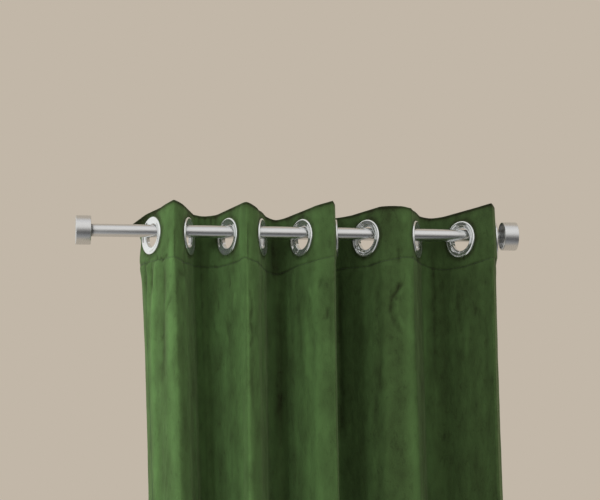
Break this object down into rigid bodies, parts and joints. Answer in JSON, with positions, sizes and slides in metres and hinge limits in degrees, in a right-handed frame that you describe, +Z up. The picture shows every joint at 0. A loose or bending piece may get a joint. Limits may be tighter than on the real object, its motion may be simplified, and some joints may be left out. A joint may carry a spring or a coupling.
{
  "type": "velvet eyelet curtain on a rod",
  "caption": "Velvet curtain panel gathered in uneven upright folds, hung by chrome eyelets on a plain steel rod with round end caps.",
  "frame": {"origin": "middle of the rod, on its axis", "axes": "+X along the rod to the right as the room sees it, +Y towards the wall, +Z up"},
  "size_m": [0.774, 0.1309, 1.379],
  "materials": {
    "velvet": "short-pile green velvet, matt with a soft sheen",
    "eyelet_front": "polished chrome plate",
    "eyelet_back": "chrome plate, less polished than the front",
    "rod": "satin steel tube, brushed along its length",
    "end_cap": "satin steel"
  },
  "bodies": {
    "root": {"curtain_cloth": "velvet", "eyelet_front_01": "eyelet_front", "eyelet_back_01": "eyelet_back", "eyelet_front_02": "eyelet_front", "eyelet_back_02": "eyelet_back", "eyelet_front_03": "eyelet_front", "eyelet_back_03": "eyelet_back", "eyelet_front_04": "eyelet_front", "eyelet_back_04": "eyelet_back", "eyelet_front_05": "eyelet_front", "eyelet_back_05": "eyelet_back", "eyelet_front_06": "eyelet_front", "eyelet_back_06": "eyelet_back", "eyelet_front_07": "eyelet_front", "eyelet_back_07": "eyelet_back", "eyelet_front_08": "eyelet_front", "eyelet_back_08": "eyelet_back", "eyelet_front_09": "eyelet_front", "eyelet_back_09": "eyelet_back", "eyelet_front_10": "eyelet_front", "eyelet_back_10": "eyelet_back", "rod": "rod", "end_cap_left": "end_cap", "end_cap_right": "end_cap"}
  },
  "joints": []
}
